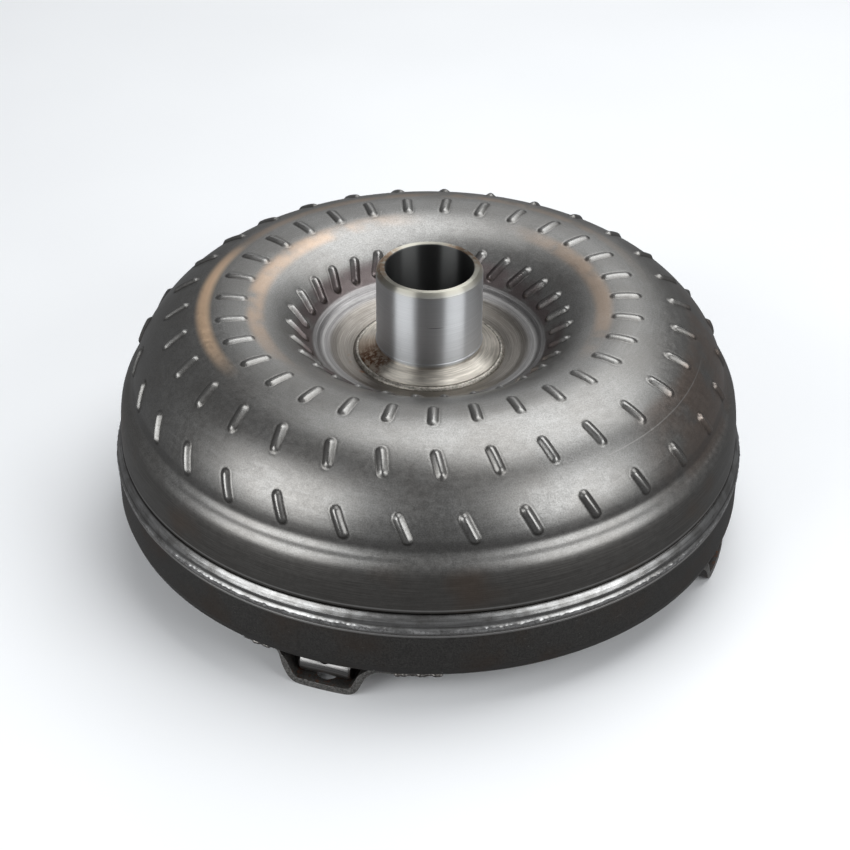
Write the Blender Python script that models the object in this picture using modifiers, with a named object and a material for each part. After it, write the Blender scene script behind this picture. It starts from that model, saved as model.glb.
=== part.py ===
"""Torque converter, hub up: a welded housing with the turbine, stator, damper and lock-up clutch inside it.

Metres, +Z along the axis towards the hub, origin on the axis at the undersides of the drive lugs.
Profiles are lists of (radius, height) in millimetres, and turned() scales them.
"""

import math

import bmesh
import bpy
from mathutils import Matrix, Vector

MM = 0.001
GAP = 0.3  # clearance left between neighbouring pieces
HOUSING_STEPS = 36  # sides of the large turned pieces, the same on all so that their gaps stay even
INNER_STEPS = 24

# Housing
SHELL_WALL = 3.0
SKIRT_RADIUS = 151.2
LAP_RADIUS = 149.3
SEAM_HEIGHT = 52.4
COVER_RADIUS = 153.8
COVER_WALL = 4.2
COVER_FLOOR = 15.5
COVER_FLOOR_WALL = 3.5
COVER_RISE = 3.5  # of the floor's raised centre
PILOT_RADIUS = 21.5
PILOT_END = 2.0
PILOT_TOP = COVER_FLOOR + COVER_RISE - GAP
HUB_RADIUS = 25.5
HUB_BORE = 19.0
HUB_TOP = 139.3

# Blade wheels
IMPELLER_BLADES = 31
TURBINE_BLADES = 29
STATOR_BLADES = 13
BLADE_THICKNESS = 1.6
CORE_WALL = 1.4
CORE_SUM = 147.0  # a turbine core point's height and its impeller mirror's add up to this
STATOR_HEIGHT = 73.0  # the stator's middle
STATOR_STEPS = 30
STATOR_VANE_THICKNESS = 3.0
STATOR_VANE_LEAN = 32.0

# Drive lugs: hat-section brackets under the cover, with a barrel nut in each
LUG_COUNT = 4
LUG_ANGLE = 251.4
LUG_SHEET = 3.0
LUG_DEPTH = COVER_FLOOR - GAP
LUG_OUTER = 148.6
LUG_INNER = 122.0
LUG_FLOOR_HALF = 15.0
LUG_TOP_HALF = 20.5
LUG_FOOT_BACK = 58.0
LUG_FOOT_AHEAD = 50.0
BOLT_CIRCLE = 141.5
BOLT_HOLE_RADIUS = 5.25
TAPPING_RADIUS = 4.3
BARREL_RADIUS = 5.8
BARREL_LENGTH = 25.0

# Shafts that enter from the hub's side, and the splines they drive
INPUT_SHAFT_RADIUS = 12.0
SUPPORT_RADIUS = 17.0
SPLINE_TEETH = 16
SPLINE_DEPTH = 1.5

# Clutches, bearings and damper
PISTON_BORE = 28.2
BEARING_STEPS = 16
ROLLER_COUNT = 8
ROLLER_RADIUS = 4.0
ROLLER_CIRCLE = 30.0
SPRING_COUNT = 6
SPRING_CIRCLE = 136.0
SPRING_HEIGHT = 34.0
SPRING_RADIUS = 5.2
SPRING_WIRE = 1.3
SPRING_SPAN = 54.0
SPRING_TURNS = 5
SPRING_STEPS = 5  # points on each turn

# Outer surface of the impeller shell, from the hub outwards and down to the seam
SHELL_OUTER = [
    (36.9, 92.9), (56.2, 99.8), (66.0, 109.2), (75.0, 115.2), (85.0, 118.9), (96.0, 120.0),
    (107.0, 118.6), (117.0, 115.4), (126.0, 110.2), (133.5, 103.2), (139.5, 94.8), (143.2, 85.6),
    (145.0, 82.4), (147.8, 80.2), (149.3, 76.0), (SKIRT_RADIUS, 60.0), (SKIRT_RADIUS, SEAM_HEIGHT),
]

# The points of the outer surface that the inner surface follows
SHELL_INNER_POINTS = (0, 1, 3, 5, 7, 9, 12, 14)

# Outer surface of the turbine shell, from its hub flange outwards and up to its rim
TURBINE_OUTER = [
    (40.0, 44.2), (57.0, 42.6), (66.0, 35.4), (80.0, 29.8), (96.0, 28.6), (112.0, 31.6), (126.0, 39.6),
    (136.5, 51.6), (141.0, 70.5),
]
TURBINE_WALL = 2.2

# Raised dimples over the impeller blades' tabs: radius, height, phase, length and slant of each ring
DIMPLE_RINGS = [
    (63.2, 106.5, -1.1, 15.2, -23.0),
    (95.0, 120.0, -7.5, 15.0, -3.0),
    (122.0, 112.8, -6.4, 14.8, 12.0),
    (141.2, 91.0, -1.4, 15.6, 25.0),
]
DIMPLE_WIDTH = 6.4
DIMPLE_HEIGHT = 2.2
DIMPLE_DEPTH = 3.4


def clear_scene():
    for obj in list(bpy.data.objects):
        bpy.data.objects.remove(obj, do_unlink=True)


def collection(name):
    made = bpy.data.collections.new(name)
    bpy.context.scene.collection.children.link(made)
    return made


def material(name, colour, metallic=1.0, roughness=0.4):
    made = bpy.data.materials.new(name)
    made.use_nodes = True
    shader = made.node_tree.nodes["Principled BSDF"]
    shader.inputs["Base Color"].default_value = (*colour, 1.0)
    shader.inputs["Metallic"].default_value = metallic
    shader.inputs["Roughness"].default_value = roughness
    return made


def add_object(name, mesh, look=None):
    obj = bpy.data.objects.new(name, mesh)
    if look is None:
        helpers.objects.link(obj)
        obj.hide_render = True
        obj.display_type = "WIRE"
    else:
        parts.objects.link(obj)
        mesh.materials.append(look)
    return obj


def signed_area(outline):
    following = outline[1:] + outline[:1]
    return sum(a[0] * b[1] - b[0] * a[1] for a, b in zip(outline, following)) / 2


def turned(name, outline, look=None, steps=HOUSING_STEPS):
    """A body of revolution. The outline is a closed loop, or starts and ends on the axis."""
    if signed_area(outline) > 0:
        outline = outline[::-1]
    on_axis = outline[0][0] == 0 and outline[-1][0] == 0
    if not on_axis and any(radius == 0 for radius, _ in outline):
        at = next(i for i, p in enumerate(outline) if p[0] == 0 and outline[i - 1][0] == 0)
        outline = outline[at:] + outline[:at]
        on_axis = True
    count = len(outline)
    edges = [(i, (i + 1) % count) for i in range(count - 1 if on_axis else count)]
    mesh = bpy.data.meshes.new(name)
    mesh.from_pydata([(radius * MM, 0.0, height * MM) for radius, height in outline], edges, [])
    obj = add_object(name, mesh, look)
    screw = obj.modifiers.new("Turn", "SCREW")
    screw.axis = "Z"
    screw.steps = screw.render_steps = steps
    screw.use_merge_vertices = True
    screw.merge_threshold = 0.00001
    screw.use_smooth_shade = False
    return obj


def offset(path, distance):
    """The path moved to its right-hand side by this distance, mitred at each point."""
    normals = []
    for a, b in zip(path, path[1:]):
        along = (Vector(b) - Vector(a)).normalized()
        normals.append(Vector((along.y, -along.x)))
    moved = []
    for i, point in enumerate(path):
        before, after = normals[max(i - 1, 0)], normals[min(i, len(normals) - 1)]
        mitre = (before + after).normalized()
        moved.append(tuple(Vector(point) + mitre * (distance / max(mitre.dot(after), 0.5))))
    return moved


def plate(name, outline, thickness):
    """A flat helper plate: the outline in local X and Y, centred on its thickness along local Z."""
    curve = bpy.data.curves.new(name, "CURVE")
    curve.dimensions = "2D"
    curve.fill_mode = "BOTH"
    curve.extrude = thickness / 2 * MM
    spline = curve.splines.new("POLY")
    spline.points.add(len(outline) - 1)
    for point, (x, y) in zip(spline.points, outline):
        point.co = (x * MM, y * MM, 0.0, 1.0)
    spline.use_cyclic_u = True
    holder = bpy.data.objects.new(name, curve)
    bpy.context.scene.collection.objects.link(holder)
    graph = bpy.context.evaluated_depsgraph_get()
    mesh = bpy.data.meshes.new_from_object(holder.evaluated_get(graph))
    bpy.data.objects.remove(holder, do_unlink=True)
    shape = bmesh.new()
    shape.from_mesh(mesh)
    bmesh.ops.remove_doubles(shape, verts=shape.verts, dist=1e-7)
    shape.to_mesh(mesh)
    shape.free()
    mesh.name = name
    return add_object(name, mesh)


def repeated(name, source, matrices):
    """A helper that holds one copy of the source's mesh at each matrix. The source is removed."""
    shape = bmesh.new()
    for matrix in matrices:
        before = len(shape.verts)
        shape.from_mesh(source.data)
        shape.verts.ensure_lookup_table()
        bmesh.ops.transform(shape, matrix=matrix, verts=shape.verts[before:])
    mesh = bpy.data.meshes.new(name)
    shape.to_mesh(mesh)
    shape.free()
    bpy.data.objects.remove(source, do_unlink=True)
    return add_object(name, mesh)


def cylinder(name, radius, length, segments=12, look=None):
    """A cylinder along local Z, centred on its origin."""
    mesh = bpy.data.meshes.new(name)
    shape = bmesh.new()
    bmesh.ops.create_cone(
        shape, cap_ends=True, segments=segments, radius1=radius * MM, radius2=radius * MM, depth=length * MM
    )
    shape.to_mesh(mesh)
    shape.free()
    return add_object(name, mesh, look)


def block(name, low, high):
    """A helper box between two corners."""
    mesh = bpy.data.meshes.new(name)
    shape = bmesh.new()
    bmesh.ops.create_cube(shape, size=1.0)
    size = [(b - a) * MM for a, b in zip(low, high)]
    middle = [(b + a) / 2 * MM for a, b in zip(low, high)]
    place = Matrix.Translation(middle) @ Matrix.Diagonal((*size, 1.0))
    bmesh.ops.transform(shape, matrix=place, verts=shape.verts)
    shape.to_mesh(mesh)
    shape.free()
    return add_object(name, mesh)


def combine(obj, other, operation):
    boolean = obj.modifiers.new(operation.title() + " " + other.name, "BOOLEAN")
    boolean.operation = operation
    boolean.solver = "EXACT"
    boolean.object = other


def about_axis(degrees):
    return Matrix.Rotation(math.radians(degrees), 4, "Z")


def around(count, phase=0.0):
    return [about_axis(phase + 360.0 * i / count) for i in range(count)]


clear_scene()
parts = collection("Torque converter")
helpers = collection("Cutters")
helpers.hide_render = True

shell_steel = material("Shell steel", (0.24, 0.23, 0.21), 1.0, 0.42)
hub_steel = material("Ground hub steel", (0.62, 0.61, 0.58), 1.0, 0.22)
cover_steel = material("Cover steel", (0.10, 0.095, 0.09), 0.9, 0.55)
weld_steel = material("Weld metal", (0.36, 0.34, 0.31), 1.0, 0.45)
lug_steel = material("Lug steel", (0.13, 0.12, 0.11), 0.9, 0.5)
nut_steel = material("Nut steel", (0.30, 0.29, 0.28), 1.0, 0.3)
blade_steel = material("Blade steel", (0.42, 0.41, 0.39), 1.0, 0.35)
turbine_steel = material("Turbine steel", (0.38, 0.37, 0.35), 1.0, 0.4)
stator_alloy = material("Stator casting", (0.66, 0.66, 0.66), 1.0, 0.45)
race_steel = material("Race steel", (0.55, 0.55, 0.55), 1.0, 0.2)
roller_steel = material("Roller steel", (0.7, 0.7, 0.7), 1.0, 0.12)
bearing_steel = material("Bearing steel", (0.6, 0.6, 0.6), 1.0, 0.18)
washer_bronze = material("Thrust washer bronze", (0.62, 0.42, 0.2), 1.0, 0.35)
piston_steel = material("Piston steel", (0.33, 0.33, 0.34), 1.0, 0.38)
lining_paper = material("Friction lining", (0.09, 0.07, 0.05), 0.0, 0.9)
seal_rubber = material("Seal", (0.02, 0.02, 0.02), 0.0, 0.6)
spring_steel = material("Spring steel", (0.2, 0.2, 0.21), 1.0, 0.3)
damper_steel = material("Damper steel", (0.45, 0.44, 0.42), 1.0, 0.35)

# Front cover: flat floor, a shallow raised centre and a straight wall up to the weld
cover_inner = COVER_RADIUS - COVER_WALL
floor_top = COVER_FLOOR + COVER_FLOOR_WALL
turned(
    "front_cover",
    [
        (0, COVER_FLOOR + COVER_RISE), (88, COVER_FLOOR + COVER_RISE), (96, COVER_FLOOR),
        (147.2, COVER_FLOOR), (151.8, COVER_FLOOR + 2.0), (COVER_RADIUS, COVER_FLOOR + 7),
        (COVER_RADIUS, 42.0), (cover_inner, 42.0), (cover_inner, 26.0), (148.4, 21.8), (145.6, floor_top),
        (97.5, floor_top), (89.5, floor_top + COVER_RISE), (0, floor_top + COVER_RISE),
    ],
    cover_steel,
)
turned(
    "closing_weld",
    [
        (LAP_RADIUS + GAP, 52.0), (152.4, 51.5), (154.2, 48.0), (154.2, 44.6), (153.5, 42.3),
        (LAP_RADIUS + GAP, 42.3),
    ],
    weld_steel,
)

# Pilot: the short spigot that centres the converter in the crankshaft
turned(
    "pilot_boss",
    [
        (0, PILOT_TOP), (PILOT_RADIUS + 3.5, PILOT_TOP), (PILOT_RADIUS, COVER_FLOOR),
        (PILOT_RADIUS, PILOT_END + 1.5), (PILOT_RADIUS - 1.5, PILOT_END), (7.0, PILOT_END),
        (5.0, PILOT_END + 3.0), (0, PILOT_END + 3.0),
    ],
    nut_steel,
    INNER_STEPS,
)

# Drive lugs and barrel nuts
slope = math.hypot(LUG_TOP_HALF - LUG_FLOOR_HALF, LUG_DEPTH) / LUG_DEPTH * LUG_SHEET
under = LUG_DEPTH - LUG_SHEET
hat = [
    (-LUG_FOOT_BACK, LUG_DEPTH), (-LUG_FOOT_BACK, under), (-LUG_TOP_HALF, under),
    (-LUG_FLOOR_HALF - 1.6, 2.0), (-LUG_FLOOR_HALF + 1.6, 0.0), (LUG_FLOOR_HALF - 1.6, 0.0),
    (LUG_FLOOR_HALF + 1.6, 2.0), (LUG_TOP_HALF, under), (LUG_FOOT_AHEAD, under),
    (LUG_FOOT_AHEAD, LUG_DEPTH), (LUG_TOP_HALF - slope + 1.2, LUG_DEPTH), (LUG_FLOOR_HALF - 1.4, LUG_SHEET),
    (-LUG_FLOOR_HALF + 1.4, LUG_SHEET), (-LUG_TOP_HALF + slope - 1.2, LUG_DEPTH),
]
rim = turned(
    "lug_rim", [(LUG_OUTER, 30), (LUG_INNER, 30), (LUG_INNER, -5), (LUG_OUTER, -5)], None
)
bolt_hole = cylinder("lug_bolt_hole", BOLT_HOLE_RADIUS, 8.0, 14)
bolt_hole.location = (0, BOLT_CIRCLE * MM, 1.5 * MM)
tapped = cylinder("barrel_tapping", TAPPING_RADIUS, 20.0, 12)
tapped.matrix_world = Matrix.Rotation(math.pi / 2, 4, "Y")
across = Matrix.Rotation(math.pi / 2, 4, "X")
for i in range(LUG_COUNT):
    angle = LUG_ANGLE + 90 * i
    facing = about_axis(angle - 90)
    strip = plate("lug_strip", hat, 80.0)
    strip.data.transform(across)
    strip.data.transform(Matrix.Translation((0, BOLT_CIRCLE * MM, 0)))
    lug = add_object(f"drive_lug_{i + 1}", strip.data.copy(), lug_steel)
    bpy.data.objects.remove(strip, do_unlink=True)
    lug.matrix_world = facing
    hole = add_object(f"lug_{i + 1}_bolt_hole", bolt_hole.data)
    hole.matrix_world = facing @ Matrix.Translation((0, BOLT_CIRCLE * MM, 1.5 * MM))
    combine(lug, rim, "INTERSECT")
    combine(lug, hole, "DIFFERENCE")

    nut = cylinder(f"barrel_nut_{i + 1}", BARREL_RADIUS, BARREL_LENGTH, 16, nut_steel)
    centre = Matrix.Translation((0, BOLT_CIRCLE * MM, (LUG_SHEET + GAP + BARREL_RADIUS) * MM))
    nut.matrix_world = facing @ centre @ Matrix.Rotation(math.pi / 2, 4, "Y")
    thread = add_object(f"barrel_{i + 1}_tapping", tapped.data)
    thread.matrix_world = facing @ centre
    combine(nut, thread, "DIFFERENCE")
bpy.data.objects.remove(bolt_hole, do_unlink=True)
bpy.data.objects.remove(tapped, do_unlink=True)

# Impeller shell: a pressed torus with a turned-down skirt that laps inside the cover
lap = [(LAP_RADIUS, SEAM_HEIGHT), (LAP_RADIUS, 38.0), (LAP_RADIUS - SHELL_WALL, 38.0)]
full_inner = offset(SHELL_OUTER, SHELL_WALL)
shell_inner = [full_inner[i] for i in SHELL_INNER_POINTS]
shell = turned("impeller_shell", SHELL_OUTER + lap + shell_inner[::-1], shell_steel)


def dimple(ring):
    """One ring of raised dimples, each lying along the shell and slanted with the blade under it."""
    radius, height, phase, length, slant = ring
    mesh = bpy.data.meshes.new("dimple")
    shape = bmesh.new()
    bmesh.ops.create_cone(shape, cap_ends=True, segments=6, radius1=1.0, radius2=0.45, depth=1.0)
    size = Matrix.Diagonal((length / 2 * MM, DIMPLE_WIDTH / 2 * MM, DIMPLE_DEPTH * MM, 1.0))
    bmesh.ops.transform(shape, matrix=size, verts=shape.verts)
    shape.to_mesh(mesh)
    shape.free()
    nearest = min(range(1, len(SHELL_OUTER) - 1), key=lambda i: math.dist(SHELL_OUTER[i], (radius, height)))
    along = Vector(SHELL_OUTER[nearest + 1]) - Vector(SHELL_OUTER[nearest - 1])
    tilt = Matrix.Rotation(-math.atan2(along.y, along.x), 4, "Y")
    place = Matrix.Translation((radius * MM, 0, height * MM)) @ tilt
    place = place @ Matrix.Rotation(math.radians(slant), 4, "Z")
    place = place @ Matrix.Translation((0, 0, (DIMPLE_HEIGHT - DIMPLE_DEPTH / 2) * MM))
    source = add_object("dimple", mesh)
    turns = [turn @ place for turn in around(IMPELLER_BLADES, phase)]
    return repeated(f"dimples_at_{radius:.0f}", source, turns)


for ring in DIMPLE_RINGS:
    combine(shell, dimple(ring), "UNION")

# Impeller hub: flange welded into the shell, and the ground sleeve that drives the pump
turned(
    "impeller_hub",
    [
        (23.9, HUB_TOP), (HUB_RADIUS, HUB_TOP - 2.0), (HUB_RADIUS, 99.6), (26.4, 98.6), (34.2, 93.6),
        (34.2, 88.0), (HUB_BORE, 88.0), (HUB_BORE, HUB_TOP - 1.4), (20.4, HUB_TOP),
    ],
    hub_steel,
)
turned("hub_weld", [(34.5, 93.8), (35.4, 94.4), (36.6, 93.6), (36.6, 90.2), (34.5, 90.2)], weld_steel)

# Blade wheels: sheet blades standing between a shell and its core ring
core_top = [(122.5, 75.5), (112.0, 91.5), (90.0, 91.5), (79.6, 78.0)]
core_low = [(radius, CORE_SUM - height) for radius, height in core_top]


def blade_wheel(name, count, core, outline, look):
    ring = turned(name, core + offset(core, CORE_WALL)[::-1], look, IMPELLER_BLADES)
    blade = plate(name + "_blade", outline, BLADE_THICKNESS)
    turns = [turn @ across for turn in around(count)]
    combine(ring, repeated(name + "_sheets", blade, turns), "UNION")
    return ring


edge = offset(shell_inner, 0.6)
top_edge = edge[1:6] + [(138.6, 75.5), (121.9, 75.5)]
top_core = [(111.6, 90.8), (90.4, 90.8), (80.2, 79.0)]
blade_wheel("impeller_blades", IMPELLER_BLADES, core_top[::-1], top_edge + top_core, blade_steel)

inner_path = offset(TURBINE_OUTER[::-1], TURBINE_WALL)[::-1]
turned("turbine_shell", TURBINE_OUTER + inner_path[::-1], turbine_steel)
low_path = offset(TURBINE_OUTER[::-1], TURBINE_WALL + 0.9)[::-1]
low_edge = [low_path[i] for i in (1, 3, 4, 5, 7, 8)] + [(121.9, 71.5)]
low_core = [(radius, CORE_SUM - height) for radius, height in top_core]
blade_wheel("turbine_blades", TURBINE_BLADES, core_low, low_edge + low_core, blade_steel)


def splined(name, outline, bore, look):
    """A turned hub whose bore is cut into spline teeth."""
    hub = turned(name, outline, look, INNER_STEPS)
    half_space = 0.5 * bore * math.pi / SPLINE_TEETH
    space = block(name + "_space", (bore - 2.0, -half_space, 0), (bore + SPLINE_DEPTH, half_space, HUB_TOP))
    combine(hub, repeated(name + "_spaces", space, around(SPLINE_TEETH)), "DIFFERENCE")
    return hub


# Turbine hub, with the groove for the piston's seal
splined(
    "turbine_hub",
    [
        (INPUT_SHAFT_RADIUS, 25.8), (27.5, 25.8), (27.5, 29.0), (25.3, 29.0), (25.3, 32.0), (27.5, 32.0),
        (27.5, 46.8), (56.0, 46.8), (56.0, 50.2), (34.0, 51.2), (31.0, 57.6), (INPUT_SHAFT_RADIUS, 57.6),
    ],
    INPUT_SHAFT_RADIUS,
    race_steel,
)
turned("piston_seal", [(25.6, 29.3), (27.75, 29.3), (27.75, 31.7), (25.6, 31.7)], seal_rubber, INNER_STEPS)
washer = [(14.0, 22.8), (27.0, 22.8), (27.0, 25.4), (14.0, 25.4)]
turned("cover_thrust_washer", washer, washer_bronze, INNER_STEPS)

# Stator: a cast wheel on a roller one-way clutch
stator_barrel = [(44.5, 60.0), (58.5, 60.0), (60.0, STATOR_HEIGHT), (58.5, 86.0), (44.5, 86.0)]
wheel = turned("stator_wheel", stator_barrel, stator_alloy, STATOR_STEPS)
shroud_outline = [(76.4, 66.5), (78.6, 66.5), (78.6, 79.5), (76.4, 79.5)]
combine(wheel, turned("stator_shroud", shroud_outline, None, STATOR_STEPS), "UNION")
vane_outline = [(58.0, -10.5), (77.4, -6.0), (77.4, 6.0), (58.0, 10.5)]
vane = plate("stator_vane", vane_outline, STATOR_VANE_THICKNESS)
lean = Matrix.Rotation(math.radians(STATOR_VANE_LEAN), 4, "X")
lift = Matrix.Translation((0, 0, STATOR_HEIGHT * MM))
vanes = [turn @ lift @ lean @ across for turn in around(STATOR_BLADES)]
combine(wheel, repeated("stator_vanes", vane, vanes), "UNION")

cam_race = [(33.2, 64.2), (43.9, 64.2), (43.9, 81.8), (33.2, 81.8)]
cam = turned("stator_cam_race", cam_race, race_steel, INNER_STEPS)
at_roller = Matrix.Translation((ROLLER_CIRCLE * MM, 0, STATOR_HEIGHT * MM))
pocket = cylinder("cam_pocket", ROLLER_RADIUS + 0.4, 30.0, 14)
pocket.data.transform(at_roller)
combine(cam, repeated("cam_pockets", pocket, around(ROLLER_COUNT)), "DIFFERENCE")
for i, turn in enumerate(around(ROLLER_COUNT)):
    roller = cylinder(f"stator_roller_{i + 1}", ROLLER_RADIUS, 17.0, 12, roller_steel)
    roller.matrix_world = turn @ at_roller
inner_race = [(SUPPORT_RADIUS, 62.4), (25.7, 62.4), (25.7, 83.6), (SUPPORT_RADIUS, 83.6)]
splined("stator_inner_race", inner_race, SUPPORT_RADIUS, race_steel)
for name, low in (("stator_side_plate_lower", 62.4), ("stator_side_plate_upper", 82.1)):
    side_plate = [(26.6, low), (43.9, low), (43.9, low + 1.5), (26.6, low + 1.5)]
    turned(name, side_plate, damper_steel, STATOR_STEPS)


def thrust_bearing(name, low):
    """Two race washers with radial needles between them."""
    lower = [(27.0, low), (37.0, low), (37.0, low + 1.0), (27.0, low + 1.0)]
    upper = [(radius, height + 2.4) for radius, height in lower]
    bearing = turned(name, lower, bearing_steel, BEARING_STEPS)
    combine(bearing, turned(name + "_upper_race", upper, None, BEARING_STEPS), "UNION")
    needle = cylinder(name + "_needle", 1.2, 8.0, 6)
    middle = Matrix.Translation((32 * MM, 0, (low + 1.7) * MM))
    needle.data.transform(middle @ Matrix.Rotation(math.pi / 2, 4, "Y"))
    combine(bearing, repeated(name + "_needles", needle, around(8, 9.0)), "UNION")


thrust_bearing("thrust_bearing_lower", 58.2)
thrust_bearing("thrust_bearing_upper", 84.2)

# Lock-up piston with its lining, sliding on the turbine hub
turned(
    "lockup_piston",
    [
        (PISTON_BORE, 23.4), (88.0, 23.4), (98.5, 20.9), (144.0, 20.9), (144.0, 23.5), (99.5, 23.5),
        (89.5, 26.0), (31.0, 26.0), (31.0, 38.0), (PISTON_BORE, 38.0),
    ],
    piston_steel,
    INNER_STEPS,
)
lining = [(118.0, 19.3), (143.0, 19.3), (143.0, 20.6), (118.0, 20.6)]
turned("friction_lining", lining, lining_paper, INNER_STEPS)

# Damper: retainer with its spring seats, springs, and the driven plate welded to the turbine
retainer = turned(
    "damper_retainer",
    [(121.0, 25.2), (145.0, 25.2), (145.0, 39.0), (143.2, 39.0), (143.2, 26.6), (121.0, 26.6)],
    damper_steel,
)
seat = block("retainer_seat", (137.8, -4.0, 25.6), (144.2, 4.0, 39.0))
combine(retainer, repeated("retainer_seats", seat, around(SPRING_COUNT)), "UNION")
driven = turned(
    "damper_driven_plate",
    [(117.6, 30.6), (128.6, 37.2), (130.6, 41.6), (127.4, 39.6), (117.0, 33.4)],
    damper_steel,
    INNER_STEPS,
)
tab = block("driven_tab", (126.5, -3.4, 31.0), (137.2, 3.4, 38.4))
combine(driven, repeated("driven_tabs", tab, around(SPRING_COUNT)), "UNION")
for i in range(SPRING_COUNT):
    curve = bpy.data.curves.new(f"damper_spring_{i + 1}", "CURVE")
    curve.dimensions = "3D"
    curve.bevel_depth = SPRING_WIRE * MM
    curve.bevel_resolution = 0
    curve.use_fill_caps = True
    spline = curve.splines.new("POLY")
    count = SPRING_TURNS * SPRING_STEPS
    spline.points.add(count)
    for j, point in enumerate(spline.points):
        turn = 2 * math.pi * SPRING_TURNS * j / count
        sweep = math.radians(30 + 60 * i + SPRING_SPAN * (j / count - 0.5))
        radius = SPRING_CIRCLE + SPRING_RADIUS * math.cos(turn)
        height = SPRING_HEIGHT + SPRING_RADIUS * math.sin(turn)
        point.co = (radius * math.cos(sweep) * MM, radius * math.sin(sweep) * MM, height * MM, 1.0)
    spring = bpy.data.objects.new(f"damper_spring_{i + 1}", curve)
    parts.objects.link(spring)
    curve.materials.append(spring_steel)
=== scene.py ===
import math

import bmesh
import bpy
import numpy as np
from mathutils import Matrix, Vector


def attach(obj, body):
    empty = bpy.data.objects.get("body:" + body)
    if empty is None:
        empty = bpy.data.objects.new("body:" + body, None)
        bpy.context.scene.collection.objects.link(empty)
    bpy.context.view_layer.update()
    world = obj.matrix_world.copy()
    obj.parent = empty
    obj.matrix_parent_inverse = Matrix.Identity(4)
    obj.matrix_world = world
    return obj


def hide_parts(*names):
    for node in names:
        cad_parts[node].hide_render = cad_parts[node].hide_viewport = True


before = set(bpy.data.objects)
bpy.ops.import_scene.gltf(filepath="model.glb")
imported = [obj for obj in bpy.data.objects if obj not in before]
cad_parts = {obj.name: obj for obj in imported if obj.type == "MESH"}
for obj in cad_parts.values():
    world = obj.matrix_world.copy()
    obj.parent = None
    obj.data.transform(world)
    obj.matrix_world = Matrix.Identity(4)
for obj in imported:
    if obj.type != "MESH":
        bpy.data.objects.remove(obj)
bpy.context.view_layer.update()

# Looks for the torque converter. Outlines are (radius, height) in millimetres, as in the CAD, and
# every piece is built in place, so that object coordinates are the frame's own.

MM = 0.001
STEPS = 360  # sides of a smooth turned piece

BLADES = 31
LUG_ANGLE = 251.4
LUG_COUNT = 4
LUG_PITCH = 360 / LUG_COUNT
BOLT_CIRCLE = 141.5
BOLT_HOLE_RADIUS = 5.25
TAPPING_RADIUS = 4.3

SEAM_HEIGHT = 52.4
HUB_TOP = 139.3
DISH_RADIUS = 56.2

HOUSING = "housing"


# ---------------------------------------------------------------- outlines

TOO_FOLDED = 0.02  # half of a corner's angle, in radians
TOO_STRAIGHT = 1.54


def rounded(outline, radius, closed=True, arc_points=5):
    """The outline with its corners turned into arcs. A third number on a point is its own radius."""
    made = []
    count = len(outline)
    for i, (x, y, *own) in enumerate(outline):
        here = Vector((x, y))
        if not closed and i in (0, count - 1):
            made.append((x, y))
            continue
        before = Vector(outline[i - 1][:2]) - here
        after = Vector(outline[(i + 1) % count][:2]) - here
        half = before.angle(after) / 2
        reach = (own[0] if own else radius) / math.tan(half) if half > TOO_FOLDED else 0.0
        reach = min(reach, before.length * 0.48, after.length * 0.48)
        if reach < 0.01 or half > TOO_STRAIGHT:
            made.append((x, y))
            continue
        start = here + before.normalized() * reach
        end = here + after.normalized() * reach
        for j in range(arc_points):
            t = j / (arc_points - 1)
            point = start * (1 - t) ** 2 + here * 2 * t * (1 - t) + end * t * t
            made.append((point.x, point.y))
    return made


def smooth_path(points, spacing):
    """A smooth curve through the points, with a point at every spacing along it."""
    points = [Vector(p) for p in points]
    padded = [2 * points[0] - points[1], *points, 2 * points[-1] - points[-2]]
    dense = []
    for a, b, c, d in zip(padded, padded[1:], padded[2:], padded[3:]):
        t1 = (b - a).length ** 0.5
        t2 = t1 + (c - b).length ** 0.5
        t3 = t2 + (d - c).length ** 0.5
        for t in np.linspace(t1, t2, 16, endpoint=False):
            ab = a * ((t1 - t) / t1) + b * (t / t1)
            bc = b * ((t2 - t) / (t2 - t1)) + c * ((t - t1) / (t2 - t1))
            cd = c * ((t3 - t) / (t3 - t2)) + d * ((t - t2) / (t3 - t2))
            abc = ab * ((t2 - t) / t2) + bc * (t / t2)
            bcd = bc * ((t3 - t) / (t3 - t1)) + cd * ((t - t1) / (t3 - t1))
            dense.append(abc * ((t2 - t) / (t2 - t1)) + bcd * ((t - t1) / (t2 - t1)))
    return spaced([*dense, points[-1]], spacing)


def spaced(path, spacing):
    """The same path with evenly spaced points."""
    path = np.array([tuple(p) for p in path])
    along = np.concatenate([[0], np.cumsum(np.hypot(*np.diff(path, axis=0).T))])
    wanted = np.linspace(0, along[-1], max(2, round(along[-1] / spacing) + 1))
    return [tuple(p) for p in np.stack([np.interp(wanted, along, path[:, i]) for i in (0, 1)], axis=1)]


def step_between(value, low, high):
    """0 below low and 1 above high, with a smooth turn between them."""
    t = np.clip((value - low) / (high - low), 0, 1)
    return t * t * (3 - 2 * t)


def ripple(angle, along, seed, turns, pitch, layers=6):
    """Irregular waves around a turned piece, about -1 to 1, with at most this many turns round it."""
    dice = np.random.default_rng(seed)
    total = np.zeros(np.broadcast(angle, along).shape)
    for _ in range(layers):
        around = int(dice.integers(max(2, turns // 3), turns + 1))
        phase, lean = dice.uniform(0, 2 * math.pi), dice.uniform(-1, 1) * 2 * math.pi / pitch
        total += np.sin(around * angle + lean * along + phase)
    return total / layers * 1.6


# ---------------------------------------------------------------- meshes

BEVELLED_OVER = 40  # degrees between two faces
OWN_SLOT = -1  # a bevel with this slot keeps its faces' own look


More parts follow.
